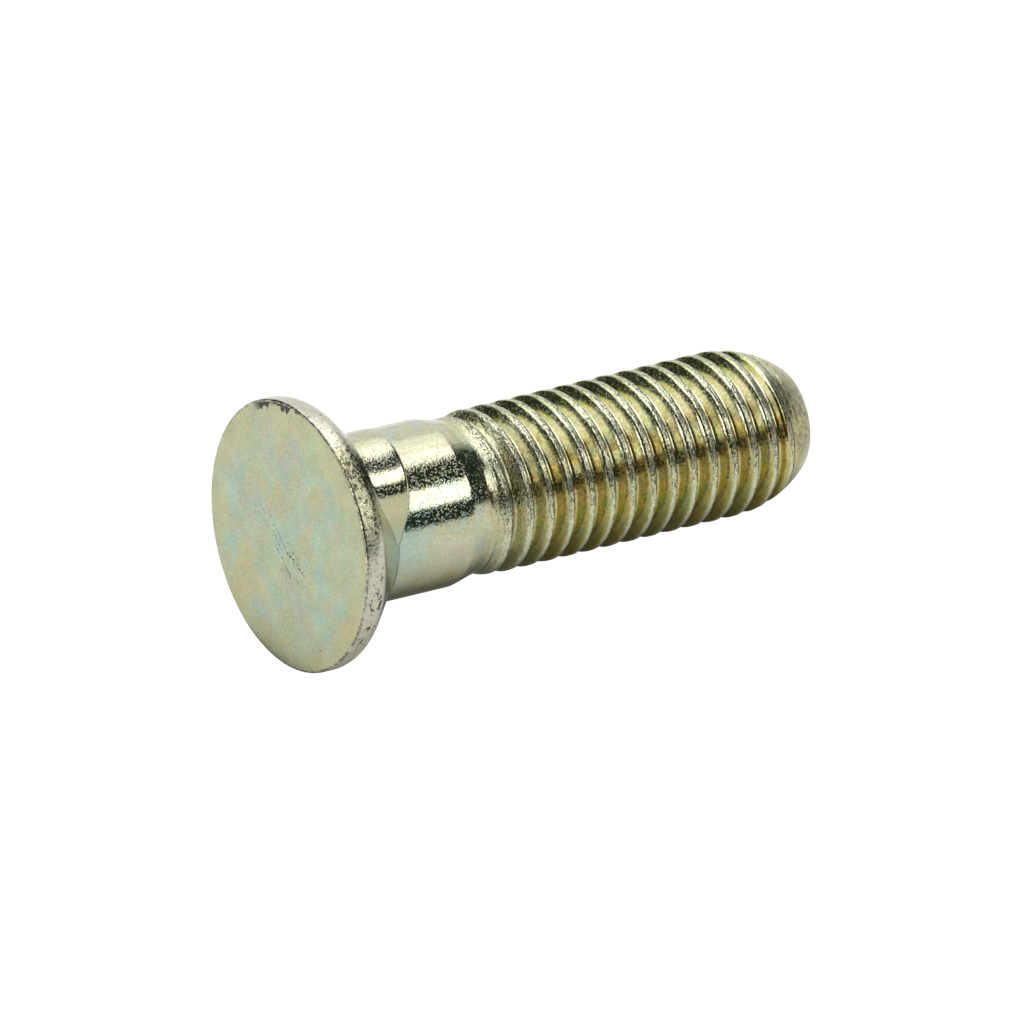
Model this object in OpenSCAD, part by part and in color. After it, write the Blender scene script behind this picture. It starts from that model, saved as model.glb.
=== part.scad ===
// Plough bolt M12 x 42: flat countersunk head, oval shoulder under it that
// keeps the bolt from turning, plain neck and a rolled right-hand thread.
// The bolt stands on the face of its head: z = 0 is that face, +Z runs along
// the shank to the thread's end, and the oval's long side lies along X.

/* [Bolt] */
// Length from the flat face to the thread's end
bolt_len = 42; // [34:0.5:80]

/* [Head] */
// Diameter of the flat head
head_d = 19.75; // [19.6:0.05:24]
// Height of the straight rim, from the flat face to where the seat starts
rim_h = 1.5; // [1.2:0.1:2.2]
// Angle of the countersunk seat, both sides together
seat_angle = 90; // [80:1:100]
// Rounding of the edge round the flat face
face_edge_r = 0.2; // [0.1:0.05:0.5]
// Rounding of the edge between rim and seat
rim_edge_r = 1.5; // [0.3:0.1:2]

/* [Oval shoulder] */
// Reach of each end of the oval from the bolt's axis
oval_reach = 9.5; // [8.8:0.05:9.6]
// Radius of each round end of the oval
oval_end_r = 4; // [3:0.05:5]
// Height of the oval's end above the flat face
oval_top = 5.25; // [4.4:0.05:7]
// Rounding of the oval's upper edge
oval_edge_r = 0.45; // [0.2:0.05:0.8]

/* [Neck] */
// Diameter of the plain neck
neck_d = 12.14; // [12:0.01:13]
// Fillet between seat and neck
neck_fillet_r = 0.5; // [0.2:0.05:1]
// Height at which the neck starts to taper towards the thread
neck_top = 11.75; // [9:0.05:16]
// Angle between that taper and the axis
taper_angle = 14; // [8:0.5:30]
// Rounding of the edge between neck and taper
neck_edge_r = 1.2; // [0.3:0.1:2]

/* [Thread] */
// Diameter over the crests
thread_d = 11.86; // [11.6:0.02:11.96]
// Pitch
pitch = 1.75; // [1.25:0.05:2]
// Width of the crests, which rolling leaves broad
crest_w = 0.46; // [0.2:0.02:0.64]
// Depth from the crests to the roots
thread_depth = 0.9; // [0.8:0.01:1.05]
// Diameter of the blank that the thread is rolled on
blank_d = 11.2; // [10.8:0.02:11.4]
// Length over which the first turns grow to their full depth
run_out = 2.8; // [1:0.1:5]
// Angle about the axis, from +X, at which the thread's first crest starts
thread_turn = 134; // [0:1:359]

/* [Point] */
// Radius of the long curve that draws the thread's end in
point_curve_r = 9; // [7:0.1:14]
// Diameter at which that curve would meet the end face
point_d = 7.8; // [7:0.1:8.8]
// Rounding of the edge round the end face
point_edge_r = 0.4; // [0.2:0.05:0.8]

/* [Hidden] */

// Width of the rounded root, as a share of the pitch
ROOT_SHARE = 0.1;
// Depth at the edges of the rounded root, as a share of the full depth
ROOT_EDGE = 0.94;
// Facets round one turn of the thread, and points on one pitch of its profile
SIDES = 36;
ROWS = 5;
// Steps in each rounded edge, and facets of the oval's round ends
EDGE_STEPS = 5;
CURVE_STEPS = 8;
OVAL_FN = 40;
// By how much one surface stands in from the next, so that they meet cleanly
SEAM = 0.02;
OVAL_TUCK = 0.05;

head_r = head_d / 2;
neck_r = neck_d / 2;
crest_r = thread_d / 2;
blank_r = blank_d / 2;
root_r = crest_r - thread_depth;
half_crest = crest_w / pitch / 2;
half_root = ROOT_SHARE / 2;

// Height at which the seat's cone meets the neck
seat_top = rim_h + (head_r - neck_r) / tan(seat_angle / 2);

// Where the taper from the neck has come down to the blank
neck_end_r = blank_r + SEAM;
neck_end = neck_top + (neck_r - neck_end_r) / tan(taper_angle);

// The long curve at the thread's end starts at point_start. The thread has run
// out at point_base, and the solid above it is round.
point_start = bolt_len - chord(point_curve_r, crest_r - point_d / 2);
point_base = point_start + chord(point_curve_r, crest_r - root_r) + SEAM;
edge_z = bolt_len - point_edge_r;
edge_c = crest_r - point_curve_r
    + sqrt(pow(point_curve_r - point_edge_r, 2) - pow(edge_z - point_start, 2));

// The helix starts below the neck's end, hidden in the neck
thread_base = neck_end - 2 * pitch;
turns = ceil((point_base - thread_base) / pitch) + 1;
LAST = turns * ROWS;

// Length along a circle's tangent at which the circle has fallen away by drop
function chord(r, drop) = sqrt(r * r - pow(r - drop, 2));

function unit(v) = v / norm(v);

// Points of the arc that rounds the corner b between a and c
function fillet(a, b, c, r) =
    let (
        u = unit(a - b),
        v = unit(c - b),
        half = acos(u * v) / 2,
        centre = b + unit(u + v) * r / sin(half),
        sweep = 90 - half
    )
    [for (i = [0 : EDGE_STEPS])
        let (t = sweep * (1 - 2 * i / EDGE_STEPS))
        centre + r * (unit(u - v) * sin(t) - unit(u + v) * cos(t))];

// Radius of the long curve at the thread's end, at height z
function point_r(z) =
    z <= point_start ? crest_r
    : crest_r - point_curve_r + sqrt(pow(point_curve_r, 2) - pow(z - point_start, 2));

// How far the thread has grown out of the blank at height z, from 0 to 1
function grown(z) =
    let (t = min(1, max(0, (z - neck_end + SEAM) / run_out)))
    t * t * (3 - 2 * t);

// How deep the point's curve cuts into a crest at height z, as a share of depth
function cut_in(z) =
    min(0.9, max(0, (crest_r - point_r(z)) / (crest_r - root_r)));

// One pitch of the profile: place along the pitch and depth of each of its points
function profile(k, cut) =
    let (
        flank = 0.5 - half_crest - half_root,
        shoulder = half_crest + cut * flank
    )
    [[-shoulder, cut], [shoulder, cut],
        [0.5 - half_root, ROOT_EDGE], [0.5, 1], [0.5 + half_root, ROOT_EDGE]][k];

// Point m of the profile, on the side i of the helix
function thread_point(i, m) =
    let (
        turn = floor(m / ROWS) + i / SIDES,
        crest_z = thread_base + turn * pitch,
        p = profile(m % ROWS, cut_in(crest_z)),
        z = crest_z + p[0] * pitch,
        full_r = crest_r - p[1] * (crest_r - root_r),
        r = min(point_r(min(z, bolt_len)), blank_r + grown(z) * (full_r - blank_r)),
        a = thread_turn + 360 * i / SIDES
    )
    [r * cos(a), r * sin(a), z];

// Index of that point. Past the last side the helix has climbed one pitch.
function at(i, m) = i < SIDES ? i * (LAST + 1) + m : m + ROWS;

// The head, the neck and the taper down to the blank, as one outline
module head_outline() {
    rim_foot = [head_r, 0];
    rim_top = [head_r, rim_h];
    seat_end = [neck_r, seat_top];
    taper_start = [neck_r, neck_top];
    taper_end = [neck_end_r, neck_end];
    polygon(concat(
        [[0, 0]],
        fillet([0, 0], rim_foot, rim_top, face_edge_r),
        fillet(rim_foot, rim_top, seat_end, rim_edge_r),
        fillet(rim_top, seat_end, taper_start, neck_fillet_r),
        fillet(seat_end, taper_start, taper_end, neck_edge_r),
        [taper_end, [0, neck_end]]
    ));
}

module head_and_neck() {
    rotate_extrude() head_outline();
}

// A round slab from inside the head up to the oval's end, its upper edge rounded
module oval_slab(r) {
    rotate_extrude($fn = OVAL_FN) polygon(concat(
        [[0, rim_h], [r, rim_h]],
        fillet([r, rim_h], [r, oval_top], [0, oval_top], oval_edge_r),
        [[0, oval_top]]
    ));
}

// The oval shoulder: two round ends, joined by walls that run in to the neck
module oval_shoulder() {
    end_x = oval_reach - oval_end_r;
    hull() {
        oval_slab(neck_r - OVAL_TUCK);
        for (side = [-1, 1])
            translate([side * end_x, 0, 0]) oval_slab(oval_end_r);
    }
}

// The rolled thread: one surface that follows the helix, cut square at both ends
module thread() {
    columns = [for (i = [0 : SIDES - 1]) for (m = [0 : LAST]) thread_point(i, m)];
    foot = len(columns);
    crown = foot + 1;
    top_z = thread_base + turns * pitch;
    foot_loop = concat(
        [for (i = [0 : SIDES - 1]) at(i, 0)],
        [for (m = [ROWS : -1 : 1]) at(0, m)]
    );
    crown_loop = concat(
        [for (i = [0 : SIDES - 1]) at(i, LAST)],
        [for (m = [LAST - 1 : -1 : LAST - ROWS]) at(SIDES - 1, m)]
    );
    walls = [for (i = [0 : SIDES - 1])
        for (m = [0 : (i < SIDES - 1 ? LAST : LAST - ROWS) - 1])
            for (half = [[at(i, m), at(i, m + 1), at(i + 1, m + 1)],
                    [at(i, m), at(i + 1, m + 1), at(i + 1, m)]]) half];
    ends = concat(
        [for (j = [0 : len(foot_loop) - 1])
            [foot, foot_loop[j], foot_loop[(j + 1) % len(foot_loop)]]],
        [for (j = [0 : len(crown_loop) - 1])
            [crown, crown_loop[(j + 1) % len(crown_loop)], crown_loop[j]]]
    );
    intersection() {
        polyhedron(
            points = concat(columns, [[0, 0, thread_base], [0, 0, top_z]]),
            faces = concat(walls, ends)
        );
        translate([0, 0, neck_end - pitch])
            cylinder(r = head_r, h = point_base - neck_end + pitch);
    }
}

// The round end of the point, above the last trace of the thread. Its core runs
// on for a pitch inside the thread, so that the two are one solid at any length.
module point_end() {
    tangent_z = point_start + (edge_z - point_start) * point_curve_r
        / (point_curve_r - point_edge_r);
    tangent_a = asin((tangent_z - edge_z) / point_edge_r);
    foot_z = point_base - SEAM;
    core_r = root_r * cos(180 / SIDES) - SEAM;
    rotate_extrude() polygon(concat(
        [[0, point_base - pitch], [core_r, point_base - pitch], [core_r, foot_z]],
        [for (i = [0 : CURVE_STEPS - 1])
            let (z = foot_z + (tangent_z - foot_z) * i / CURVE_STEPS)
            [point_r(z) + (i == 0 ? SEAM / 2 : 0), z]],
        [for (i = [0 : EDGE_STEPS])
            let (a = tangent_a + (90 - tangent_a) * i / EDGE_STEPS)
            [edge_c + point_edge_r * cos(a), edge_z + point_edge_r * sin(a)]],
        [[0, bolt_len]]
    ));
}

module plough_bolt() {
    color("#b9b08a") union() {
        head_and_neck();
        oval_shoulder();
        thread();
        point_end();
    }
}

plough_bolt();
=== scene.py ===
"""Plough bolt: the forged blank, its rolled thread, the plating and a small studio round it.

The bolt stands on the flat face of its head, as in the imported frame: z = 0 is that face, +Z runs
along the shank, and the long side of the oval shoulder lies along X. Lengths are in metres.
"""
import math

import bmesh
import bpy
from bpy.props import FloatProperty, FloatVectorProperty, IntProperty, PointerProperty
from mathutils import Matrix, Vector


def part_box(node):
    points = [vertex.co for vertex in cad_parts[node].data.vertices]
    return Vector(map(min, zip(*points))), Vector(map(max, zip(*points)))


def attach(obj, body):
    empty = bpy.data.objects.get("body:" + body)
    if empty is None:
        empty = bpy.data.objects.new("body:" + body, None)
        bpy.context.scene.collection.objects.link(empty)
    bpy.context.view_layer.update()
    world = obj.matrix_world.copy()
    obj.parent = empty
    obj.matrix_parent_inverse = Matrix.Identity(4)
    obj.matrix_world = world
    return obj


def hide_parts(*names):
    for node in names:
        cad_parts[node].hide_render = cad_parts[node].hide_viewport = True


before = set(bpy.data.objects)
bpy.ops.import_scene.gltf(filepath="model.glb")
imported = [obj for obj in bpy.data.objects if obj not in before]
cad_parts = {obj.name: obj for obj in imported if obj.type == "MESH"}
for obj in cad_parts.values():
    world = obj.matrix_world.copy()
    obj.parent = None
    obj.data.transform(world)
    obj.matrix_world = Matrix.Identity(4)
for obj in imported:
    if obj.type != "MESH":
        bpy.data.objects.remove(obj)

bl_info = {
    "name": "Plough Bolt",
    "version": (1, 0, 0),
    "blender": (4, 5, 0),
    "location": "View3D > Sidebar > Plough Bolt",
    "description": "Forges, threads and plates a countersunk bolt with an oval shoulder",
    "category": "Object",
}

NODE = "plough_bolt"
BODY = "root"
PIECE = "plough_bolt_finished"

MM = 0.001
CAD_LOW, CAD_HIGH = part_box(NODE)
HEAD_RADIUS = min(CAD_HIGH.x, CAD_HIGH.y, -CAD_LOW.x, -CAD_LOW.y)
BOLT_LENGTH = CAD_HIGH.z
# Corners closer than WELD are one, and a length below HAIR counts as none
WELD = 0.001 * MM
HAIR = 1e-6 * MM

# The thread's mesh attributes: the distance from the crest in pitches, and which flank it is on,
# from -1 on the head's side to 1 on the tip's
FROM_CREST = "from_crest"
FLANK = "flank"
# The distance given to the corners outside the thread, which are on neither crest nor root
OFF_THREAD = 0.3
# How far the edges of the thread's crests lie below their middle
CREST_CROWN = 0.03 * MM
# Directions square to the axis: the side near the top as the bolt lies on the table, the side that is
# the bolt's upper outline in the camera's view, and the side facing the camera, whose crests get painted
# shade
UPPER_SIDE = (0.956, -0.293, 0)
OUTLINE_SIDE = (0.503, -0.864, 0)
CREST_SHADE_SIDE = (0.938, 0.346, 0)
# Where marks and clouds lie: the middle and the half size of an upright box, in millimetres
SCRATCHED_FACE = ((-1.4, -0.2, 0), (1.5, 4.4, 1))
NICKED_EDGE = ((5.9, -7.4, 0), (3.0, 2.6, 1))
KNOCKED_RIM = ((9.4, 1.9, 0.9), (1.6, 4.6, 1.6))
SCUFFED_RIM = ((3.6, 9.1, 0.9), (4.2, 2.4, 0.8))
BLUE_NECK = ((3.9, 4.7, 5.8), (3.6, 3.4, 3.0))
STRAW_OVAL = ((8.0, 2.8, 4.0), (3.0, 2.8, 1.8))
# The finishes, in the order of the piece's material slots
FACE, SMOOTH, THREAD = range(3)


def linear(hex_colour):
    """An sRGB hex colour as linear red, green and blue."""
    parts = [int(hex_colour[i:i + 2], 16) / 255 for i in (1, 3, 5)]
    return tuple(c / 12.92 if c <= 0.04045 else ((c + 0.055) / 1.055) ** 2.4 for c in parts)


def length(name, description, default):
    """A property that holds a length in metres."""
    return FloatProperty(name=name, description=description, default=default, min=0, precision=5,
                         unit="LENGTH", subtype="DISTANCE")


def colour(name, description, hex_colour):
    """A property that holds a colour."""
    return FloatVectorProperty(name=name, description=description, default=linear(hex_colour),
                               subtype="COLOR", min=0, max=1)


class BlankSettings(bpy.types.PropertyGroup):
    """Sizes of the forged blank."""

    columns: IntProperty(name="Columns", description="Faces round the bolt", default=192, min=24)
    face_edge: length("Face edge", "Rounding of the edge round the flat face", 0.2 * MM)
    rim_height: length("Rim", "Height at which the seat's cone would leave the rim", 1.5 * MM)
    rim_edge: length("Rim edge", "Rounding between rim and seat", 1.5 * MM)
    oval_reach: length("Oval reach", "Reach of each end of the oval from the axis", 9.5 * MM)
    oval_end: length("Oval end", "Radius of each round end of the oval", 4 * MM)
    oval_top: length("Oval top", "Height of the oval's end", 5.25 * MM)
    oval_edge: length("Oval edge", "Rounding of the oval's upper edge", 0.45 * MM)
    oval_foot: length("Oval foot", "Softness of the corner between oval and seat", 0.12 * MM)
    neck_radius: length("Neck", "Radius of the plain neck", 6.07 * MM)
    neck_fillet: length("Neck fillet", "Fillet between seat and neck", 0.5 * MM)
    neck_top: length("Neck top", "Height at which the neck starts to taper", 11.75 * MM)
    neck_edge: length("Neck edge", "Rounding of the edge between neck and taper", 1.2 * MM)
    taper: FloatProperty(name="Taper", description="Angle between the taper and the axis",
                         default=math.radians(14), subtype="ANGLE", unit="ROTATION")


class ThreadSettings(bpy.types.PropertyGroup):
    """Sizes of the rolled thread and of the bolt's end."""

    rows: IntProperty(name="Rows", description="Faces on one pitch of the thread", default=20, min=8)
    pitch: length("Pitch", "Pitch of the thread", 1.75 * MM)
    crest: length("Crest", "Radius over the crests", 5.93 * MM)
    root: length("Root", "Radius at the roots", 5.03 * MM)
    crest_width: length("Crest width", "Width of the broad, rolled crests", 0.46 * MM)
    root_width: length("Root width", "Width of the rounded roots", 0.17 * MM)
    blank: length("Blank", "Radius of the blank that the thread is rolled on", 5.6 * MM)
    start_turn: FloatProperty(name="Start", description="Angle from +X of a crest at the low end",
                              default=math.radians(19.4), subtype="ANGLE", unit="ROTATION")
    low: length("Low end", "Height at which the thread's surface leaves the taper", 13.0 * MM)
    run_out: length("Run-out", "Length over which the first turns grow", 2.8 * MM)
    fold: length("Fold", "Depth of the seam that rolling leaves along the crest", 0.025 * MM)
    point_curve: length("Point curve", "Radius of the curve that draws the end in", 9 * MM)
    point_radius: length("Point radius", "Radius at which that curve meets the end", 3.9 * MM)
    point_edge: length("Point edge", "Rounding of the edge round the end", 0.4 * MM)


class FinishSettings(bpy.types.PropertyGroup):
    """Colours of the zinc plating and its chromate film."""

    straw: colour("Straw", "The chromate film where it is thickest", "#BFBA92")
    green: colour("Green", "Pale green interference colour of the film", "#B2C1A2")
    blue: colour("Blue", "Pale blue interference colour of the film", "#AAC1B8")
    rose: colour("Rose", "Pinkish interference colour of the film", "#C1B1A0")
    zinc: colour("Zinc", "Thinly filmed, almost bare zinc", "#C6C8AC")
    steel: colour("Steel", "Greyer, rubbed film on the rim", "#CBC7BC")
    grey: colour("Grey", "Rubbed zinc on the tip", "#B3AC7F")
    olive: colour("Olive", "Film that pooled in the thread", "#B6AC7A")
    moss: colour("Moss", "Greenish patches of that film", "#ACB082")
    straw_deep: colour("Deep straw", "Pale greenish film on the thread's upper side", "#D2D0B2")
    gold: colour("Gold", "Golden patches in the thread", "#CCBA84")
    blush: colour("Blush", "Pale pinkish patches in the thread", "#D8CCBC")
    # The scuff colour also draws the painted shade line along the thread
    scuff_and_shade: colour("Scuff", "Dark scuffs and nicks", "#4A483F")


class StageSettings(bpy.types.PropertyGroup):
    """The camera, the table and the lights."""

    lens: FloatProperty(name="Lens", description="Focal length in millimetres", default=1500)
    scale: FloatProperty(name="Scale", description="Pixels to a millimetre in a 1024 pixel picture",
                         default=14.16)
    floor_size: length("Floor", "Side of the pale table top", 3.0)


def fillet(before, corner, after, radius, steps):
    """Points of the arc that rounds a corner between two other points, as 2D vectors."""
    u, v = (before - corner).normalized(), (after - corner).normalized()
    half = u.angle(v) / 2
    inward, across = (u + v).normalized(), (u - v).normalized()
    centre = corner + inward * radius / math.sin(half)
    sweep = math.pi / 2 - half
    turns = [sweep * (1 - 2 * i / steps) for i in range(steps + 1)]
    return [centre + radius * (across * math.sin(t) - inward * math.cos(t)) for t in turns]


def spread(start, end, count):
    """Evenly spaced values from start to end, with both ends."""
    return [start + (end - start) * i / (count - 1) for i in range(count)]


def read_outline(outline, height):
    """Radius of an outline of (radius, height) points at a height."""
    for low, high in zip(outline, outline[1:]):
        if height <= high.y:
            share = (height - low.y) / max(high.y - low.y, HAIR)
            return low.x + (high.x - low.x) * max(share, 0.0)
    return outline[-1].x


def taper_radius(blank, height):
    """Radius of the taper between neck and thread at a height."""
    return blank.neck_radius - (height - blank.neck_top) * math.tan(blank.taper)


def curve_radius(start_radius, curve, start, height):
    """Radius of a shank that curves in from start_radius above the height start."""
    rise = max(height - start, 0.0)
    return start_radius - curve + math.sqrt(curve ** 2 - rise ** 2)


def head_outline(blank, top):
    """The turned outline of head, seat and neck, from the face's edge up to the height top."""
    foot, rim = Vector((HEAD_RADIUS, 0)), Vector((HEAD_RADIUS, blank.rim_height))
    seat = Vector((blank.neck_radius, blank.rim_height + HEAD_RADIUS - blank.neck_radius))
    neck = Vector((blank.neck_radius, blank.neck_top))
    end = Vector((taper_radius(blank, top), top))
    outline = fillet(Vector((0, 0)), foot, rim, blank.face_edge, 8)
    outline += fillet(foot, rim, seat, blank.rim_edge, 16)
    outline += fillet(rim, seat, neck, blank.neck_fillet, 12)
    outline += fillet(seat, neck, end, blank.neck_edge, 8)
    last = outline[-1]
    return outline + [last.lerp(end, share) for share in spread(0, 1, 10)[1:]]


def oval_radius(blank, angle):
    """Distance from the axis to the oval's wall at an angle, and how squarely the wall stands there."""
    along, across = abs(math.cos(angle)), abs(math.sin(angle))
    polar = math.atan2(across, along)
    shift = blank.oval_reach - blank.oval_end
    lean = math.acos((blank.neck_radius - blank.oval_end) / shift)
    joint = Vector((shift + blank.oval_end * math.cos(lean), blank.oval_end * math.sin(lean)))
    if polar >= lean:
        return blank.neck_radius, 1.0
    if polar >= math.atan2(joint.y, joint.x):
        return blank.neck_radius / math.cos(lean - polar), math.cos(lean - polar)
    drop = shift * math.sin(polar)
    radius = shift * math.cos(polar) + math.sqrt(blank.oval_end ** 2 - drop ** 2)
    return radius, math.sqrt(blank.oval_end ** 2 - drop ** 2) / blank.oval_end


def soft_max(a, b, width):
    """The larger of two values, with the corner between them rounded over the given width."""
    near = max(width - abs(a - b), 0.0) / width
    return max(a, b) + near * near * width / 4


def blank_column(blank, outline, angle):
    """The (radius, height) points of one column of the blank, from the face's edge to the neck."""
    wall, square = oval_radius(blank, angle)
    edge = blank.oval_edge
    edge_start = blank.oval_top - edge
    seat_start = blank.rim_height - blank.rim_edge * math.tan(math.pi / 8)
    foot = next((p.y for p in outline if p.y > seat_start and p.x <= wall), edge_start)
    for low, high in zip(outline, outline[1:]):
        if low.y >= seat_start and low.x >= wall > high.x:
            foot = low.y + (high.y - low.y) * (low.x - wall) / (low.x - high.x)
            break
    foot = min(foot, edge_start - 2 * blank.oval_foot)

    def radius_at(height):
        drop = max(height - edge_start, 0.0) / edge
        inset = edge / square * (1 - math.sqrt(max(1 - drop * drop, 0.0)))
        return soft_max(read_outline(outline, height), wall - inset, blank.oval_foot)

    # Each stretch has as many rows of corners as its bend needs
    heights = spread(blank.face_edge, seat_start, 4)[1:]
    heights += spread(seat_start, foot - 2 * blank.oval_foot, 14)[1:]
    heights += spread(foot - 2 * blank.oval_foot, foot + 2 * blank.oval_foot, 7)[1:]
    heights += spread(foot + 2 * blank.oval_foot, edge_start, 6)[1:]
    heights += [edge_start + edge * math.sin(t) for t in spread(0, math.pi / 2, 8)[1:]]
    column = [p for p in outline if p.y <= blank.face_edge + HAIR]
    column += [Vector((radius_at(h), h)) for h in heights]
    inner = read_outline(outline, blank.oval_top)
    outer = column[-1].x
    column += [Vector((r, blank.oval_top)) for r in spread(max(outer, inner), inner, 6)[1:]]
    middle = (blank.oval_top + blank.neck_top) / 2
    fillets = [p for p in outline if blank.oval_top + HAIR < p.y < middle]
    above = [p for p in outline if p.y >= middle]
    plain = spread(fillets[-1].y, above[0].y, 12)[1:-1]
    return column + fillets + [Vector((blank.neck_radius, h)) for h in plain] + above


def skin(bm, columns, slot):
    """Joins columns of points that stand side by side round the axis. Returns the rings of corners."""
    rings = [[bm.verts.new(column[k]) for column in columns] for k in range(len(columns[0]))]
    for lower, upper in zip(rings, rings[1:]):
        for i in range(len(columns)):
            j = (i + 1) % len(columns)
            face = bm.faces.new((lower[i], lower[j], upper[j], upper[i]))
            face.material_index = slot
    return rings


def disc(bm, ring, shares, upwards, slot):
    """Closes a ring with a flat disc: smaller rings at shares of its radius, and one middle corner."""
    centre = Vector((0, 0, ring[0].co.z))

    def fill(*corners):
        bm.faces.new(corners if upwards else corners[::-1]).material_index = slot

    rings = [ring] + [[bm.verts.new(centre.lerp(rim.co, share)) for rim in ring] for share in shares]
    following = [(i, (i + 1) % len(ring)) for i in range(len(ring))]
    for outer, inner in zip(rings, rings[1:]):
        for i, j in following:
            fill(outer[i], outer[j], inner[j], inner[i])
    hub = bm.verts.new(centre)
    for i, j in following:
        fill(rings[-1][i], rings[-1][j], hub)


def turned(radius_height, angle):
    """A point of an outline, turned about the axis."""
    return Vector((radius_height.x * math.cos(angle), radius_height.x * math.sin(angle),
                   radius_height.y))


def point_start(thread):
    """Height at which the bolt's end starts to draw in."""
    fall = thread.point_curve - (thread.crest - thread.point_radius)
    return BOLT_LENGTH - math.sqrt(thread.point_curve ** 2 - fall ** 2)


def thread_high(thread):
    """Height at which the end has drawn in past the thread's roots."""
    spare = 0.08 * MM
    fall = thread.point_curve - (thread.crest - thread.root + spare)
    return point_start(thread) + math.sqrt(thread.point_curve ** 2 - fall ** 2)


def point_outline(thread):
    """The turned outline of the bolt's end, above the thread."""
    start, curve, edge = point_start(thread), thread.point_curve, thread.point_edge
    edge_height = BOLT_LENGTH - edge
    rise = edge_height - start
    edge_centre = thread.crest - curve + math.sqrt((curve - edge) ** 2 - rise ** 2)
    tangent = start + rise * curve / (curve - edge)
    tilt = math.asin((tangent - edge_height) / edge)
    heights = spread(thread_high(thread), tangent, 8)[:-1]
    outline = [Vector((curve_radius(thread.crest, curve, start, h), h)) for h in heights]
    for turn in spread(tilt, math.pi / 2, 8):
        radius = edge_centre + edge * math.cos(turn)
        outline.append(Vector((radius, edge_height + edge * math.sin(turn))))
    return outline


# Short names of the nodes that are used most, each with Blender's own kind and its settings
SHORT = {name: ("ShaderNodeMath", {"operation": name.upper()}) for name in (
    "absolute", "add", "cosine", "divide", "maximum", "minimum", "multiply", "pingpong", "sine",
    "smooth_max", "smooth_min", "sqrt", "subtract")}
SHORT |= {
    "dot": ("ShaderNodeVectorMath", {"operation": "DOT_PRODUCT"}),
    "scale": ("ShaderNodeVectorMath", {"operation": "SCALE"}),
    "mix": ("ShaderNodeMix", {"data_type": "RGBA"}),
    "tint": ("ShaderNodeMix", {"data_type": "RGBA", "blend_type": "MULTIPLY"}),
    "range": ("ShaderNodeMapRange", {}),
    "smooth_range": ("ShaderNodeMapRange", {"interpolation_type": "SMOOTHSTEP"}),
}


def wire(target, inputs):
    """Fills a node's inputs, given in order or by name, with values, outputs or other nodes."""
    sockets = [socket for socket in target.inputs if socket.enabled]
    pairs = inputs.items() if isinstance(inputs, dict) else enumerate(inputs)
    for key, value in pairs:
        socket = sockets[key] if isinstance(key, int) else next(s for s in sockets if s.name == key)
        if isinstance(value, bpy.types.Node):
            value = next(output for output in value.outputs if output.enabled)
        if isinstance(value, bpy.types.NodeSocket):
            target.id_data.links.new(value, socket)
        else:
            socket.default_value = (*value, 1.0) if socket.type == "RGBA" else value


def node(tree, kind, *inputs, **settings):
    """Adds a node with its settings. Its inputs follow in order, or by name in one dictionary."""
    kind, fixed = SHORT.get(kind, (kind, {}))
    made = tree.nodes.new(kind)
    for name, value in (fixed | settings).items():
        setattr(made, name, value)
    wire(made, inputs[0] if inputs and isinstance(inputs[0], dict) else inputs)
    return made


def thread_form(tree, given, along, height, angle):
    """The radius of the rolled thread, and how many pitches a place lies from the crest's middle."""
    # 0 on the crest and 0.5 in the root
    from_crest = node(tree, "pingpong", along, 0.5)
    double_pitch = node(tree, "multiply", given["Pitch"], 2)
    half_crest = node(tree, "divide", given["Crest width"], double_pitch)
    half_root = node(tree, "divide", given["Root width"], double_pitch)
    root_start = node(tree, "subtract", 0.5, half_root)
    fall = node(tree, "range", from_crest, half_crest, root_start, clamp=False)
    root_round, crest_round = 0.2, 0.05
    fall = node(tree, "smooth_min", fall, 1.0, root_round)
    depth = node(tree, "smooth_max", fall, 0.0, crest_round)

    # The turned shape under the thread: the neck's taper, then the blank
    rise = node(tree, "subtract", height, given["Low"])
    drop = node(tree, "multiply", rise, given["Taper slope"])
    taper = node(tree, "subtract", given["Taper start"], drop)
    shank = node(tree, "smooth_max", taper, given["Blank"], 0.05 * MM)

    # The helix starts to grow a little above the low end
    start = node(tree, "subtract", height, node(tree, "add", given["Low"], 0.5 * MM))
    grown = node(tree, "smooth_range", start, 0, given["Run-out"])

    # Rolling pushes metal up from both flanks, and leaves a ragged seam where it meets on the crest
    spot = node(tree, "ShaderNodeCombineXYZ",
                node(tree, "multiply", node(tree, "cosine", angle), given["Crest"]),
                node(tree, "multiply", node(tree, "sine", angle), given["Crest"]),
                height)
    lumps_to_a_metre, sway, seam_half_width, lip_height = 900.0, 0.14, 0.05, 0.08 * MM
    ragged = node(tree, "ShaderNodeTexNoise",
                  {"Vector": spot, "W": given["Seed"], "Scale": lumps_to_a_metre, "Detail": 2.0},
                  noise_dimensions="4D")
    centred = node(tree, "subtract", ragged, 0.5)
    off_centre = node(tree, "add", from_crest, node(tree, "multiply", centred, sway))
    off_seam = node(tree, "divide", node(tree, "absolute", off_centre), seam_half_width)
    closeness = node(tree, "subtract", 1.0, off_seam, use_clamp=True)
    seam = node(tree, "multiply", given["Fold"], closeness)
    lip = node(tree, "multiply", centred, lip_height)
    crest_share = node(tree, "subtract", 1.0, depth, use_clamp=True)
    across = node(tree, "divide", from_crest, half_crest)
    crown = node(tree, "multiply", node(tree, "multiply", across, across), CREST_CROWN)
    lowered = node(tree, "add", seam, node(tree, "minimum", crown, CREST_CROWN))
    rough = node(tree, "multiply", crest_share, node(tree, "subtract", lip, lowered))
    full_depth = node(tree, "subtract", given["Crest"], given["Root"])
    form = node(tree, "subtract", given["Crest"], node(tree, "multiply", depth, full_depth))
    form = node(tree, "add", form, rough)
    growth = node(tree, "multiply", grown, node(tree, "subtract", form, shank))
    return node(tree, "add", shank, growth), from_crest


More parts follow.
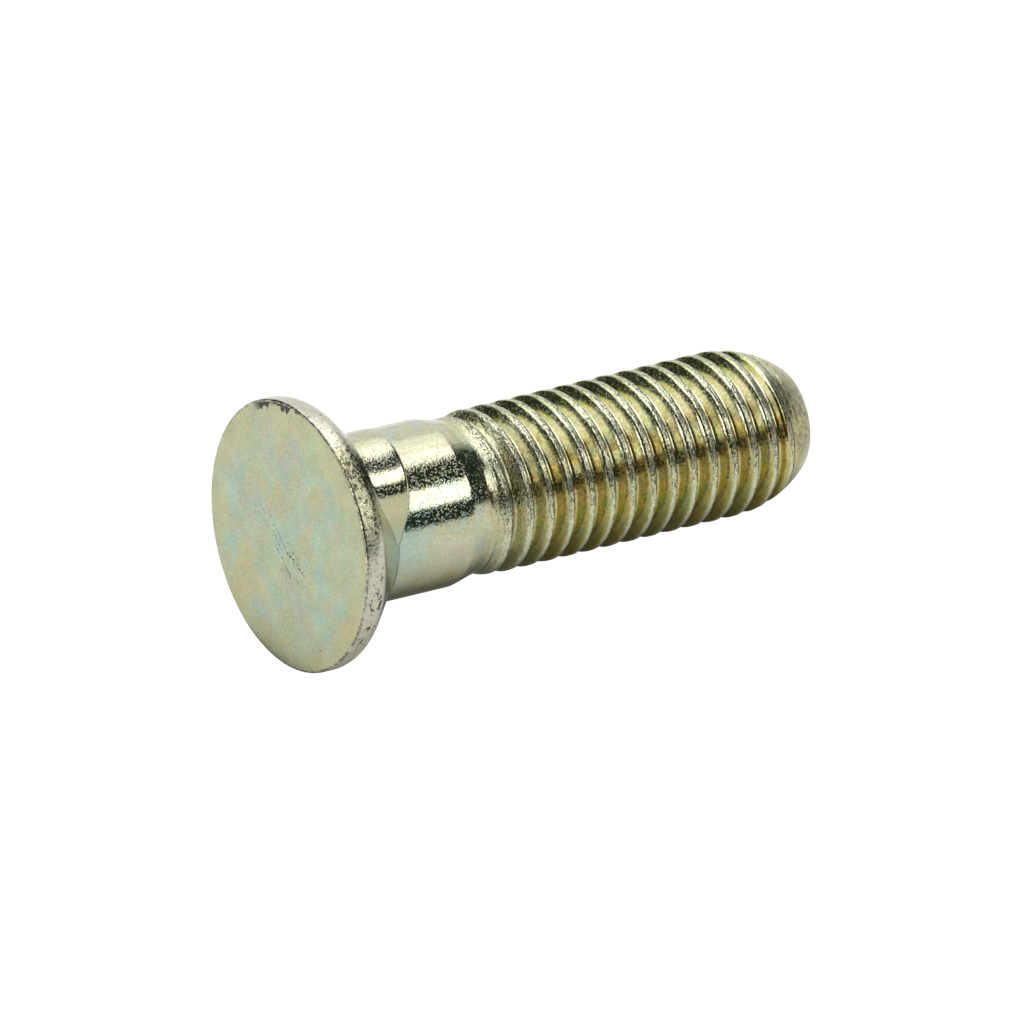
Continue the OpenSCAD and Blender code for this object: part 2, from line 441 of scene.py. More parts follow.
def point_form(tree, given, height):
    """The radius of the long curve that draws the bolt's end in."""
    past = node(tree, "maximum", node(tree, "subtract", height, given["Point start"]), 0.0)
    curve = given["Point curve"]
    squares = node(tree, "subtract", node(tree, "multiply", curve, curve),
                   node(tree, "multiply", past, past))
    reach = node(tree, "sqrt", node(tree, "maximum", squares, 0.0))
    return node(tree, "add", node(tree, "subtract", given["Crest"], curve), reach)


def thread_tree():
    """Geometry Nodes: a flat grid wound into the right-hand helix of a rolled thread."""
    tree = bpy.data.node_groups.new("rolled_thread", "GeometryNodeTree")
    sizes = ("Pitch", "Crest", "Root", "Crest width", "Root width", "Blank", "Low", "High", "Run-out",
             "Fold", "Point start", "Point curve", "Taper start", "Start turn", "Turns",
             "Taper slope", "Seed")
    tree.interface.new_socket("Geometry", in_out="OUTPUT", socket_type="NodeSocketGeometry")
    for names, kind in ((("Columns", "Rows"), "NodeSocketInt"), (sizes, "NodeSocketFloat"),
                        (("Material",), "NodeSocketMaterial")):
        for name in names:
            tree.interface.new_socket(name, in_out="INPUT", socket_type=kind)
    given = node(tree, "NodeGroupInput").outputs

    columns = node(tree, "add", given["Columns"], 1)
    rows = node(tree, "add", node(tree, "multiply", given["Rows"], given["Turns"]), 1)
    grid = node(tree, "GeometryNodeMeshGrid", 1.0, 1.0, columns, rows)
    place = node(tree, "ShaderNodeSeparateXYZ", node(tree, "GeometryNodeInputPosition")).outputs
    around = node(tree, "add", place["X"], 0.5)
    even = node(tree, "multiply", node(tree, "add", place["Y"], 0.5), given["Turns"])
    # Rows crowd together at the edges of the crests, where the profile bends most
    crowding = 0.5
    wave = node(tree, "sine", node(tree, "multiply", even, 8 * math.pi))
    along = node(tree, "add", even, node(tree, "multiply", wave, crowding / (8 * math.pi)))
    base = node(tree, "subtract", given["Low"], given["Pitch"])
    climb = node(tree, "multiply", given["Pitch"], node(tree, "add", along, around))
    height = node(tree, "minimum", node(tree, "add", base, climb), given["High"])
    height = node(tree, "maximum", height, given["Low"])
    turn = node(tree, "multiply", around, 2 * math.pi)
    angle = node(tree, "add", given["Start turn"], turn)

    radius, from_crest = thread_form(tree, given, along, height, angle)
    radius = node(tree, "smooth_min", radius, point_form(tree, given, height), 0.05 * MM)
    wound = node(tree, "ShaderNodeCombineXYZ",
                 node(tree, "multiply", radius, node(tree, "cosine", angle)),
                 node(tree, "multiply", radius, node(tree, "sine", angle)),
                 height)
    made = grid
    side = node(tree, "sine", node(tree, "multiply", along, 2 * math.pi))
    for name, value in ((FROM_CREST, from_crest), (FLANK, side)):
        made = node(tree, "GeometryNodeStoreNamedAttribute",
                    {"Geometry": made, "Name": name, "Value": value})
    made = node(tree, "GeometryNodeSetPosition", {"Geometry": made, "Position": wound})
    made = node(tree, "GeometryNodeMergeByDistance", {"Geometry": made, "Distance": WELD})
    made = node(tree, "GeometryNodeSetShadeSmooth", {"Geometry": made})
    made = node(tree, "GeometryNodeRealizeInstances", {"Geometry": made})
    made = node(tree, "GeometryNodeSetMaterial", {"Geometry": made, "Material": given["Material"]})
    node(tree, "NodeGroupOutput", made)
    return tree


def rolled_thread(blank, thread):
    """The thread as a plain mesh, open at both ends."""
    tree = thread_tree()
    holder = bpy.data.objects.new("thread_holder", bpy.data.meshes.new("thread_holder"))
    bpy.context.scene.collection.objects.link(holder)
    high = thread_high(thread)
    turns = math.ceil((high - thread.low) / thread.pitch) + 2
    values = {
        "Columns": blank.columns, "Rows": thread.rows, "Turns": float(turns), "Seed": 3.0,
        "Pitch": thread.pitch, "Crest": thread.crest, "Root": thread.root, "Blank": thread.blank,
        "Crest width": thread.crest_width, "Root width": thread.root_width,
        "Low": thread.low, "High": high, "Run-out": thread.run_out, "Fold": thread.fold,
        "Point start": point_start(thread), "Point curve": thread.point_curve,
        "Taper start": taper_radius(blank, thread.low), "Taper slope": math.tan(blank.taper),
        "Start turn": thread.start_turn,
    }
    modifier = holder.modifiers.new("thread", "NODES")
    modifier.node_group = tree
    for item in tree.interface.items_tree:
        if item.in_out == "INPUT" and item.name in values:
            modifier[item.identifier] = values[item.name]
    evaluated = holder.evaluated_get(bpy.context.evaluated_depsgraph_get())
    mesh = bpy.data.meshes.new_from_object(evaluated)
    holder.modifiers.remove(modifier)
    bpy.data.objects.remove(holder)
    return mesh


def material(name):
    """A metallic node material with its tree and Principled shader."""
    made = bpy.data.materials.new(name)
    made.use_nodes = True
    shader = made.node_tree.nodes["Principled BSDF"]
    wire(shader, {"Metallic": 1.0})
    return made, made.node_tree, shader


def pattern(tree, size, detail=2.0, roughness=0.5, stretch=(1, 1, 1), offset=(0, 0, 0), distortion=0.0):
    """Random lumps about size metres across, that stay where they are on the bolt."""
    where = node(tree, "ShaderNodeTexCoord").outputs["Object"]
    mapped = node(tree, "ShaderNodeMapping", {"Vector": where, "Scale": stretch, "Location": offset})
    return node(tree, "ShaderNodeTexNoise", {
        "Vector": mapped, "Scale": 1 / size, "Detail": detail, "Roughness": roughness,
        "Distortion": distortion})


def wander(tree, low, high, size, *lumps, **layout):
    """A value that wanders between low and high over such a pattern."""
    return node(tree, "range", pattern(tree, size, *lumps, **layout), 0.3, 0.7, low, high)


def coloured(tree, lumps, stops):
    """A pattern in colours: each stop is a place between 0 and 1, and the colour there."""
    made = node(tree, "ShaderNodeValToRGB", lumps)
    line = made.color_ramp
    while len(line.elements) < len(stops):
        line.elements.new(0.5)
    for element, (place, shade) in zip(line.elements, stops):
        element.position = place
        element.color = (*shade, 1.0)
    return made


def object_place(tree):
    """Object coordinates in millimetres."""
    return node(tree, "scale", node(tree, "ShaderNodeTexCoord").outputs["Object"], 1 / MM)


def height_over(tree, start):
    """Height over a place on the axis that is given in metres, in millimetres."""
    height = node(tree, "ShaderNodeSeparateXYZ", object_place(tree)).outputs["Z"]
    return node(tree, "subtract", height, start / MM)


def from_axis(tree):
    """Distance from the bolt's axis in millimetres."""
    flat = node(tree, "ShaderNodeVectorMath", object_place(tree), (1, 1, 0), operation="MULTIPLY")
    return node(tree, "ShaderNodeVectorMath", flat, operation="LENGTH")


def from_rim(tree):
    """Distance inside the head's widest circle in millimetres."""
    return node(tree, "subtract", HEAD_RADIUS / MM, from_axis(tree))


def toward(tree, side):
    """How far a place lies to one side of the axis, in millimetres."""
    return node(tree, "dot", object_place(tree), side)


def squarely(tree, side):
    """1 where the shank faces a side, 0 a quarter turn away and -1 opposite."""
    return node(tree, "divide", toward(tree, side), from_axis(tree))


def inside(tree, box, softness):
    """1 in the middle of a box, falling to 0 at its walls over a share of its half size."""
    centre, half_size = box
    offset = node(tree, "ShaderNodeVectorMath", object_place(tree), centre, operation="SUBTRACT")
    share = node(tree, "ShaderNodeVectorMath", offset, half_size, operation="DIVIDE")
    away = node(tree, "ShaderNodeVectorMath", share, operation="ABSOLUTE")
    x, y, z = node(tree, "ShaderNodeSeparateXYZ", away).outputs
    farthest = node(tree, "maximum", node(tree, "maximum", x, y), z)
    return node(tree, "smooth_range", farthest, 1 - softness, 1, 1, 0)


def bump(tree, relief, depth):
    """The normal of a relief of the given depth in metres."""
    return node(tree, "ShaderNodeBump", {"Height": relief, "Strength": 1.0, "Distance": depth})


def pocked(tree):
    """The plating's fine relief: a slight orange peel with small, sharp-edged pocks.

    The real pocks are finer. These are as coarse as they need to be to show.
    """
    peel = pattern(tree, 0.18 * MM, distortion=0.6)
    return node(tree, "add", node(tree, "multiply", peel, 1.6), node(tree, "range", peel, 0.58, 0.65))


def film_share(tree, thread):
    """How far the neck's bright zinc has faded into the thread's coloured film, from 0 to 1."""
    rise = height_over(tree, thread.low)
    rise = node(tree, "add", rise, wander(tree, -1.0, 1.0, 0.7 * MM, 4.0, 0.6))
    rise = node(tree, "add", rise, node(tree, "multiply", toward(tree, UPPER_SIDE), 0.25))
    return node(tree, "smooth_range", rise, -0.2, 2.6)


def shaded_underside(tree, shade):
    """A colour with painted shade: darker on the side away from the upper one, towards the table."""
    upward = node(tree, "add", squarely(tree, UPPER_SIDE), wander(tree, -0.06, 0.06, 1.2 * MM, 3.0))
    # Painted shade, full on the lowest side
    lowest = node(tree, "smooth_range", upward, 0.1, -0.36, 0, 1)
    return node(tree, "mix", lowest, shade, node(tree, "tint", 1.0, shade, (0.76, 0.72, 0.54)))


def face_plating(film):
    """Zinc plated steel, pressed flat by the forging die: satin, with clouds of yellow chromate."""
    made, tree, shader = material("zinc_plate_on_pressed_face")
    clouds = pattern(tree, 3.6 * MM, 5.0, 0.55, offset=(0.003, 0.001, 0), distortion=0.5)
    clouds = coloured(tree, clouds, (
        (0.34, film.blue), (0.43, film.green), (0.50, film.straw), (0.54, film.rose),
        (0.59, film.green), (0.68, film.straw)))
    wide_clouds = coloured(tree, pattern(tree, 6.0 * MM, 3.0, offset=(0.02, 0.01, 0)), (
        (0.40, film.green), (0.50, film.blue), (0.60, film.straw)))
    shade = node(tree, "mix", 0.5, clouds, wide_clouds)
    inset = node(tree, "subtract", from_rim(tree), wander(tree, -1.2, 1.2, 2.4 * MM, 4.0))
    border = node(tree, "smooth_range", inset, 2.67, 0.87, 0, 0.6)
    shade = node(tree, "mix", border, shade, film.straw)
    for tone in (wander(tree, 0.85, 1.19, 0.22 * MM, 4.0, 0.7),
                 wander(tree, 0.9, 1.1, 1.8 * MM, 4.0, 0.6, offset=(0.07, 0, 0))):
        shade = node(tree, "scale", shade, tone)
    # Fine dotted scratches across the middle, and dark nicks in the worn edge
    lines = node(tree, "range", pattern(tree, 0.42 * MM, 1.0, stretch=(1, 0.12, 1)), 0.54, 0.60)
    dots = node(tree, "range", pattern(tree, 0.18 * MM, 1.0), 0.50, 0.56)
    scratch = node(tree, "multiply", node(tree, "multiply", lines, dots),
                   inside(tree, SCRATCHED_FACE, 0.6))
    pits = node(tree, "range", pattern(tree, 0.3 * MM, 1.0, offset=(0.05, 0, 0)), 0.76, 0.80)
    inset = node(tree, "subtract", from_rim(tree), wander(tree, -0.6, 0.45, 1.0 * MM, 4.0, 0.6))
    nicks = node(tree, "multiply", node(tree, "range", inset, 0.57, 0.42),
                 inside(tree, NICKED_EDGE, 0.4))
    marks = node(tree, "maximum", node(tree, "maximum", scratch, pits), nicks)
    relief = node(tree, "subtract", pattern(tree, 0.2 * MM, 3.0, 0.6), marks)
    wire(shader, {"Base Color": node(tree, "mix", marks, shade, film.scuff_and_shade),
                  "Roughness": wander(tree, 0.32, 0.42, 0.8 * MM),
                  "Normal": bump(tree, relief, 0.012 * MM)})
    return made


def smooth_plating(film, thread):
    """Zinc plated steel as drawn by the die: bright, with a fine orange peel."""
    made, tree, shader = material("zinc_plate_on_drawn_steel")
    clouds = pattern(tree, 3.0 * MM, 3.0, offset=(0.01, 0.004, 0), distortion=0.4)
    clouds = coloured(tree, clouds, (
        (0.36, film.rose), (0.45, film.zinc), (0.54, film.straw), (0.60, film.blue),
        (0.68, film.zinc)))
    mottle = wander(tree, 0.86, 1.08, 0.2 * MM, 3.0, 0.7)
    shade = node(tree, "scale", node(tree, "mix", 0.5, film.zinc, clouds), mottle)
    # Painted shade darkens the side towards the table
    shade = shaded_underside(tree, node(tree, "mix", film_share(tree, thread), shade, film.moss))
    # The film dried in a pale blue cloud on the neck, and straw coloured on the oval's wall
    for box, cloud in ((BLUE_NECK, film.blue), (STRAW_OVAL, film.straw)):
        amount = node(tree, "multiply", inside(tree, box, 1.0), 0.75)
        shade = node(tree, "mix", amount, shade, node(tree, "scale", cloud, mottle))
    # The forged rim is coarser than the drawn neck, with dirt in its hammered dents
    rim = node(tree, "smooth_range", from_rim(tree), 0.67, 0.17)
    shade = node(tree, "mix", node(tree, "multiply", rim, 0.6), shade, film.steel)
    dents = pattern(tree, 0.34 * MM, 4.0, 0.65)
    knocked = inside(tree, KNOCKED_RIM, 0.5)
    deeper = node(tree, "add", dents, node(tree, "multiply", knocked, 0.1))
    dirt = node(tree, "multiply", rim, node(tree, "range", deeper, 0.60, 0.67, 0, 0.8))
    dull = node(tree, "tint", 1.0, shade, (0.87, 0.86, 0.68))
    shade = node(tree, "mix", node(tree, "multiply", rim, knocked), shade, dull)
    # The rounded edge of the face is worn dark in places
    edge = node(tree, "multiply", node(tree, "range", height_over(tree, 0), 0.06, 0.15, 1, 0),
                node(tree, "range", pattern(tree, 0.4 * MM, 4.0, 0.65), 0.42, 0.52, 0, 0.7))
    dirt = node(tree, "maximum", dirt, edge)
    # Black scuffs on the side that has been knocked about
    scuffs = pattern(tree, 0.36 * MM, 4.0, 0.65, stretch=(0.7, 0.7, 1))
    scuffs = node(tree, "multiply", node(tree, "range", scuffs, 0.55, 0.60),
                  inside(tree, SCUFFED_RIM, 0.5))
    marks = node(tree, "maximum", scuffs, dirt)
    rough = wander(tree, 0.055, 0.095, 0.6 * MM)
    coarse = node(tree, "multiply", node(tree, "multiply", dents, rim),
                  node(tree, "range", knocked, 0, 1, 5.0, 16.0))
    relief = node(tree, "subtract", node(tree, "add", pocked(tree), coarse), marks)
    wire(shader, {"Base Color": node(tree, "mix", marks, shade, film.scuff_and_shade),
                  "Roughness": node(tree, "add", rough, node(tree, "multiply", rim, 0.06)),
                  "Normal": bump(tree, relief, 0.005 * MM)})
    return made


def thread_film(tree, film, thread, under, first, tip):
    """The film between the crests: pale and greenish on the upper side, golden elsewhere, with painted
    shade below and along the outline.
    """
    cloud = pattern(tree, 1.6 * MM, 5.0, 0.6)
    golden = coloured(tree, cloud, (
        (0.36, film.olive), (0.48, film.gold), (0.56, film.moss), (0.64, film.olive)))
    pale = coloured(tree, pattern(tree, 0.9 * MM, 3.0, 0.6, offset=(0.03, 0, 0)), (
        (0.40, film.green), (0.47, film.straw_deep), (0.54, film.straw_deep), (0.60, film.blush)))
    pale = node(tree, "mix", 0.45, film.straw_deep, pale)
    upper = node(tree, "add", toward(tree, UPPER_SIDE), node(tree, "range", cloud, 0.3, 0.7, -1.5, 1.5))
    shade = node(tree, "mix", node(tree, "smooth_range", upper, 3.2, 5.6), golden, pale)
    mottle = wander(tree, 0.76, 1.14, 0.2 * MM, 4.0, 0.7)
    # Painted shade darkens the side towards the table
    shade = shaded_underside(tree, node(tree, "scale", shade, mottle))
    # Painted shade: a deeper, yellower tint along the thread's upper outline in the view and along its
    # foot
    painted_outline_shade = node(tree, "maximum", node(tree, "range", squarely(tree, OUTLINE_SIDE), 0.76, 0.9), under)
    shade = node(tree, "mix", painted_outline_shade, shade, node(tree, "tint", 1.0, shade, (0.95, 0.98, 0.72)))
    shade = node(tree, "mix", film_share(tree, thread), film.zinc, shade)
    # The tip is rubbed grey, and the die took much of the film off the first turns
    rubbed_grey = node(tree, "scale", film.grey, mottle)
    shade = node(tree, "mix", node(tree, "multiply", tip, 0.8), shade, rubbed_grey)
    return node(tree, "mix", node(tree, "multiply", first, 0.4), shade, film.zinc)


def thread_plating(film, thread):
    """Zinc plated thread: the film pooled gold and olive between crests that were rubbed pale."""
    made, tree, shader = material("zinc_plate_on_rolled_thread")
    distance = node(tree, "ShaderNodeAttribute", attribute_name=FROM_CREST).outputs["Fac"]
    flank = node(tree, "ShaderNodeAttribute", attribute_name=FLANK).outputs["Fac"]
    # Heights are in millimetres over the thread's low end or the tip
    rise = height_over(tree, thread.low)
    begun = node(tree, "range", rise, 0.3, 1.3)
    first = node(tree, "multiply", node(tree, "range", rise, 0.5, 1.0),
                 node(tree, "range", rise, 2.5, 6.5, 1, 0))
    below_tip = node(tree, "add", height_over(tree, BOLT_LENGTH),
                     wander(tree, -0.8, 0.8, 0.9 * MM, 4.0, 0.6))
    tip = node(tree, "smooth_range", below_tip, -2.6, -1.2)
    # The thread's foot in the view, opposite its upper outline, which gets painted shade and painted
    # light
    under = node(tree, "range", squarely(tree, OUTLINE_SIDE), -0.3, -0.55)
    shade = thread_film(tree, film, thread, under, first, tip)
    # The crests are rubbed pale, the first ones more broadly. Distances from them are in pitches.
    unsure = node(tree, "add", distance, wander(tree, -0.06, 0.06, 0.22 * MM, 3.0, 0.6))
    broader = node(tree, "range", rise, 1.5, 6.0, 0.10, 0)
    bare = node(tree, "smooth_range", node(tree, "subtract", unsure, broader), 0.08, 0.12, 1, 0)
    crest = node(tree, "multiply", bare, begun)
    # Painted light: along the thread's foot the rubbed crests are made up to a fifth brighter
    rubbed_with_painted_light = node(tree, "scale", film.zinc, node(tree, "range", under, 0, 1, 1.0, 1.2))
    # Painted shade: in a narrow band facing the camera, the rubbed crests take a darker film colour
    painted_crest_shade = node(tree, "range", squarely(tree, CREST_SHADE_SIDE), 0.95, 0.985, 0, 0.7)
    rubbed_with_painted_light = node(tree, "mix", painted_crest_shade, rubbed_with_painted_light, node(tree, "scale", shade, 0.75))
    shade = node(tree, "mix", crest, shade, rubbed_with_painted_light)
    # The die tore the first turns all over, and the later ones only on their crests
    torn = node(tree, "maximum", crest, node(tree, "multiply", first, 0.35))
    torn = node(tree, "maximum", torn, node(tree, "multiply", tip, 0.9))
    streaks = pattern(tree, 0.11 * MM, 3.0, 0.6, stretch=(0.22, 0.22, 1))
    specks = node(tree, "range", pattern(tree, 0.13 * MM), 0.57, 0.60)
    scored = node(tree, "maximum", node(tree, "range", streaks, 0.54, 0.59, 0, 0.85), specks)
    worn = node(tree, "multiply", node(tree, "multiply", torn, scored),
                node(tree, "range", under, 0, 1, 1.0, 0.3))
    # Painted shade: a dark line, with rougher metal round it, runs where the tip's flank begins
    tip_flank = node(tree, "multiply", node(tree, "range", flank, 0.2, 0.5), begun)
    off_line = node(tree, "absolute", node(tree, "subtract", unsure, 0.14))
    line = node(tree, "multiply", node(tree, "range", off_line, 0.02, 0.04, 0.9, 0), tip_flank)
    # The marks are real scuffs and specks, and the painted shade line
    marks = node(tree, "maximum", worn, line)
    brink = node(tree, "absolute", node(tree, "subtract", distance, 0.15))
    rough = node(tree, "multiply", node(tree, "range", brink, 0.03, 0.06, 0.4, 0), tip_flank)
    for part in (wander(tree, 0.11, 0.19, 0.5 * MM), node(tree, "multiply", tip, 0.04),
                 node(tree, "multiply", torn, -0.05)):
        rough = node(tree, "add", rough, part)
    relief = node(tree, "multiply", pocked(tree), node(tree, "range", torn, 0, 1, 0.5, 1.0))
    brushed = node(tree, "multiply", node(tree, "range", streaks, 0.3, 0.7), torn)
    gouges = node(tree, "multiply", pattern(tree, 0.2 * MM, 3.0, 0.6, stretch=(0.3, 0.3, 1)), first)
    for part, amount in ((brushed, 1.5), (gouges, 9.0), (marks, -1.0)):
        relief = node(tree, "add", relief, node(tree, "multiply", part, amount))
    # The rubbed tip is chalky, and spreads part of its light
    wire(shader, {"Base Color": node(tree, "mix", marks, shade, film.scuff_and_shade),
                  "Metallic": node(tree, "range", tip, 0, 1, 1.0, 0.5),
                  "Roughness": rough,
                  "Normal": bump(tree, relief, 0.0075 * MM)})
    return made


class BOLT_OT_forge(bpy.types.Operator):
    """Forges the blank and rolls its thread, as one closed mesh."""

    bl_idname = "plough_bolt.forge"
    bl_label = "Forge and Thread the Bolt"

    def execute(self, context):
        blank, thread = context.scene.plough_blank, context.scene.plough_thread
        outline = head_outline(blank, thread.low)
        angles = [thread.start_turn + 2 * math.pi * i / blank.columns for i in range(blank.columns)]
        bm = bmesh.new()
        bm.from_mesh(rolled_thread(blank, thread))
        for face in bm.faces:
            face.material_index = THREAD
        rolled = len(bm.verts)
        columns = [[turned(p, a) for p in blank_column(blank, outline, a)] for a in angles]
        lower = skin(bm, columns, SMOOTH)
        disc(bm, lower[0], (0.96, 0.85, 0.7, 0.5, 0.3, 0.15), False, FACE)
        end = point_outline(thread)
        upper = skin(bm, [[turned(p, a) for p in end] for a in angles], THREAD)
        disc(bm, upper[-1], (0.9, 0.6, 0.3), True, THREAD)
        distance = bm.verts.layers.float[FROM_CREST]
        bm.verts.ensure_lookup_table()
        for corner in bm.verts[rolled:]:
            corner[distance] = OFF_THREAD
        bmesh.ops.remove_doubles(bm, verts=bm.verts, dist=2 * WELD)
        open_edges = sum(1 for edge in bm.edges if len(edge.link_faces) != 2)
        if open_edges:
            raise RuntimeError(f"the bolt's mesh has {open_edges} open edges")
        bmesh.ops.recalc_face_normals(bm, faces=bm.faces)
        mesh = bpy.data.meshes.new(PIECE)
        bm.to_mesh(mesh)
        bm.free()
        mesh.shade_smooth()
        bolt = bpy.data.objects.new(PIECE, mesh)
        context.scene.collection.objects.link(bolt)
        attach(bolt, BODY)
        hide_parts(NODE)
        return {"FINISHED"}


class BOLT_OT_plate(bpy.types.Operator):
    """Plates the bolt with zinc and its yellow chromate film."""

    bl_idname = "plough_bolt.plate"
    bl_label = "Plate the Bolt"

    def execute(self, context):
        film, thread = context.scene.plough_finish, context.scene.plough_thread
        bolt = bpy.data.objects[PIECE]
        for made in (face_plating(film), smooth_plating(film, thread), thread_plating(film, thread)):
            bolt.data.materials.append(made)
        return {"FINISHED"}


# Directions of the photograph's view in the bolt's own frame, and how far it looks down on the table
TO_CAMERA = Vector((0.7812, 0.3316, -0.5290)).normalized()
PICTURE_UP = Vector((0.4931, -0.8474, 0.1972))
PICTURE_RIGHT = PICTURE_UP.cross(TO_CAMERA).normalized()
LOOKS_DOWN = math.radians(31.508)
TABLE_UP = (PICTURE_UP * math.cos(LOOKS_DOWN) + TO_CAMERA * math.sin(LOOKS_DOWN)).normalized()
TABLE_NEAR = PICTURE_RIGHT.cross(TABLE_UP)
ACROSS_BOLT = TABLE_UP.cross(Vector((0, 0, 1))).normalized()


def from_table(right, near, up):
    """A vector given to the picture's right, towards the camera along the table, and off the table."""
    return PICTURE_RIGHT * right + TABLE_NEAR * near + TABLE_UP * up


def softbox(name, place, size, brightness, back=None):
    """A soft light that faces the bolt, or has its back to a direction. It is seen only in the metal."""
    data = bpy.data.lights.new(name, "AREA")
    data.shape = "RECTANGLE"
    data.size, data.size_y = size
    data.energy = brightness * math.pi * size[0] * size[1]
    lamp = bpy.data.objects.new(name, data)
    bpy.context.scene.collection.objects.link(lamp)
    middle = Vector((0, 0, BOLT_LENGTH / 2))
    lamp.location = middle + place
    back = back or place.normalized()
    side = PICTURE_RIGHT if back == TABLE_UP else TABLE_UP.cross(back).normalized()
    lamp.rotation_mode = "QUATERNION"
    lamp.rotation_quaternion = Matrix((side, back.cross(side), back)).transposed().to_quaternion()
    lamp.visible_camera = False
    return lamp


class BOLT_OT_stage(bpy.types.Operator):
    """Sets up the pale table, the soft lights and the camera."""

    bl_idname = "plough_bolt.stage"
    bl_label = "Set the Stage"

    def execute(self, context):
        stage = context.scene.plough_stage
        bolt = bpy.data.objects[PIECE]
        lowest = min(TABLE_UP.dot(v.co) for v in bolt.data.vertices)
        self.table(stage, lowest)
        self.studio(context)
        self.camera(context, stage)
        return {"FINISHED"}

    def table(self, stage, lowest):
        """A pale table top that the bolt lies on in the photograph, which nobody sees from below."""
        half = stage.floor_size / 2
        corners = [from_table(x, y, lowest) for x, y in
                   ((-half, -half), (half, -half), (half, half), (-half, half))]
        mesh = bpy.data.meshes.new("table_top")
        mesh.from_pydata(corners, [], [(0, 1, 2, 3)])
        if mesh.polygons[0].normal.dot(TABLE_UP) < 0:
            mesh.flip_normals()
        table = bpy.data.objects.new("table_top", mesh)
        bpy.context.scene.collection.objects.link(table)
        # Painted board: white, with no gloss
        made, tree, shader = material("matt_white_table")
        # The metal mirrors a deeper contact shadow along its foot than the lights make
        aside = node(tree, "absolute", toward(tree, ACROSS_BOLT))
        shadow = node(tree, "smooth_range", aside, 1.8, 6.6, 0.40, 1.0)
        for end, start, stop in ((0, 1, -2), (BOLT_LENGTH, 0, 4)):
            past_end = node(tree, "range", height_over(tree, end), start, stop)
            shadow = node(tree, "maximum", shadow, past_end)
        wire(shader, {"Base Color": node(tree, "scale", linear("#F4F4F2"), shadow),
                      "Metallic": 0.0, "Roughness": 0.9})
        # It glows white to the camera, and faintly to the metal. From below it can't be seen.
        seen = node(tree, "ShaderNodeLightPath").outputs["Is Camera Ray"]
        glow = node(tree, "multiply", node(tree, "maximum", seen, shadow), 1.05)
        white = node(tree, "ShaderNodeEmission", {"Strength": glow})
        glowing = node(tree, "range", seen, 0, 1, 0.12, 1.0)
        top = node(tree, "ShaderNodeMixShader", glowing, shader, white)
        behind = node(tree, "ShaderNodeNewGeometry").outputs["Backfacing"]
        hidden = node(tree, "multiply", behind, seen)
        clear = node(tree, "ShaderNodeBsdfTransparent")
        choice = node(tree, "ShaderNodeMixShader", hidden, top, clear)
        wire(tree.nodes["Material Output"], {"Surface": choice})
        table.data.materials.append(made)

    def studio(self, context):
        """A white wall behind, a dim room elsewhere, and soft boxes. The camera sees only white."""
        world = bpy.data.worlds.new("studio")
        world.use_nodes = True
        tree = world.node_tree
        tree.nodes.clear()
        way = node(tree, "ShaderNodeTexCoord").outputs["Generated"]
        behind = node(tree, "range", node(tree, "dot", way, TABLE_NEAR), -0.66, -0.46, 1, 0)
        aside = node(tree, "absolute", node(tree, "dot", way, PICTURE_RIGHT))
        wall = node(tree, "multiply", behind, node(tree, "range", aside, 0.44, 0.60, 1, 0))
        strength = node(tree, "range", wall, 0, 1, 0.04, 1.0)
        room = node(tree, "mix", strength, (0.72, 1.0, 0.86), (1, 1, 1))
        shade = node(tree, "ShaderNodeBackground", room, strength)
        plain = node(tree, "ShaderNodeBackground", (1, 1, 1), 1.0)
        seen = node(tree, "ShaderNodeLightPath").outputs["Is Camera Ray"]
        choice = node(tree, "ShaderNodeMixShader", seen, shade, plain)
        node(tree, "ShaderNodeOutputWorld", {"Surface": choice})
        context.scene.world = world
        for name, right, near, size, brightness in (
                ("back_softbox", -0.28, -0.75, (1.34, 0.34), 0.45),
                ("middle_softbox", -0.28, -0.50, (1.34, 0.16), 1.0),
                ("left_top_softbox", -0.51, -0.10, (0.88, 0.64), 1.75),
                ("right_top_softbox", 0.16, -0.10, (0.46, 0.64), 2.2)):
            softbox(name, from_table(right, near, 0.6), size, brightness, back=TABLE_UP)
        softbox("strip_softbox", from_table(0.655, 0.18, 0.385), (0.55, 0.26), 2.55)
        softbox("near_softbox", from_table(0.46, 0.25, 0.52), (0.3, 0.26), 1.2)
        softbox("left_softbox", from_table(-0.66, 0.41, 0.14), (0.36, 0.26), 7.0)
        context.scene.view_settings.view_transform = "Standard"

    def camera(self, context, stage):
        """A long lens at the photograph's viewing angle, framed as the photograph is."""
        data = bpy.data.cameras.new("camera")
        data.lens = stage.lens
        picture_width = 1024
        view_width = picture_width / stage.scale * MM
        distance = view_width * data.lens / data.sensor_width
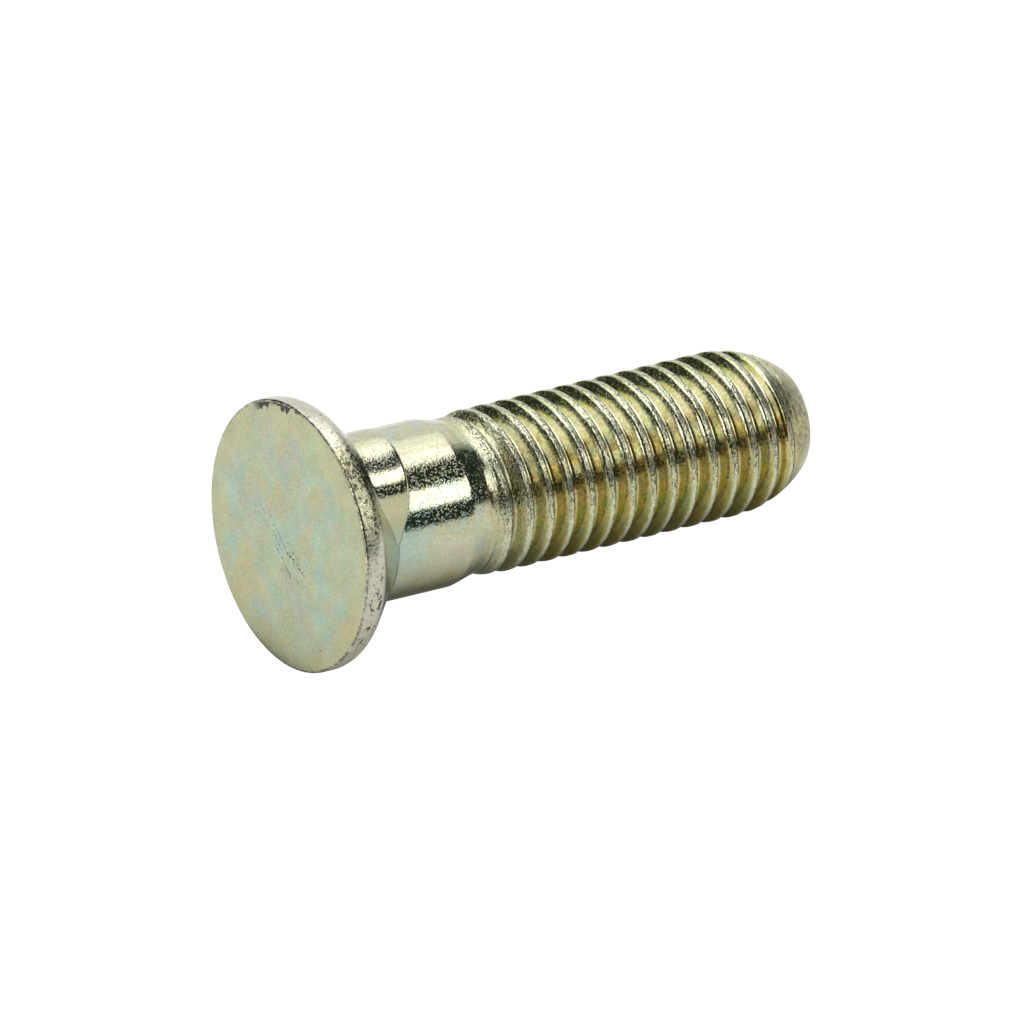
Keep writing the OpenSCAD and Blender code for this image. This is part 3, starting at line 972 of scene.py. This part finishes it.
        # The middle of the head's face lies this many pixels from the picture's middle
        face_right, face_down = -221.6, 26.5
        step = MM / stage.scale
        aim = PICTURE_RIGHT * -face_right * step + PICTURE_UP * face_down * step
        eye = bpy.data.objects.new("camera", data)
        context.scene.collection.objects.link(eye)
        # The scale holds halfway along the bolt
        eye.location = aim + TO_CAMERA * (distance + TO_CAMERA.z * BOLT_LENGTH / 2)
        eye.rotation_mode = "QUATERNION"
        turn = Matrix((PICTURE_RIGHT, PICTURE_UP, TO_CAMERA)).transposed()
        eye.rotation_quaternion = turn.to_quaternion()
        data.clip_start, data.clip_end = distance * 0.05, distance * 4
        context.scene.camera = eye


class BOLT_PT_panel(bpy.types.Panel):
    """Lists the steps that make the bolt."""

    bl_idname = "BOLT_PT_panel"
    bl_label = "Plough Bolt"
    bl_space_type = "VIEW_3D"
    bl_region_type = "UI"
    bl_category = "Plough Bolt"

    def draw(self, context):
        for step in STEPS:
            self.layout.operator(step.bl_idname)
        for name in SETTINGS:
            box = self.layout.box()
            group = getattr(context.scene, name)
            for key in group.bl_rna.properties.keys():
                if key not in ("rna_type", "name"):
                    box.prop(group, key)


SETTINGS = {
    "plough_blank": BlankSettings,
    "plough_thread": ThreadSettings,
    "plough_finish": FinishSettings,
    "plough_stage": StageSettings,
}
STEPS = (BOLT_OT_forge, BOLT_OT_plate, BOLT_OT_stage)


def register():
    """Registers the settings, the steps and the panel."""
    for name, group in SETTINGS.items():
        bpy.utils.register_class(group)
        setattr(bpy.types.Scene, name, PointerProperty(type=group))
    for cls in (*STEPS, BOLT_PT_panel):
        bpy.utils.register_class(cls)


def unregister():
    """Removes what register() added."""
    for cls in (BOLT_PT_panel, *reversed(STEPS)):
        bpy.utils.unregister_class(cls)
    for name, group in SETTINGS.items():
        delattr(bpy.types.Scene, name)
        bpy.utils.unregister_class(group)


def main():
    """Makes the bolt and its stage."""
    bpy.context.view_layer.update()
    register()
    bpy.ops.plough_bolt.forge()
    bpy.ops.plough_bolt.plate()
    bpy.ops.plough_bolt.stage()


if __name__ == "__main__":
    main()
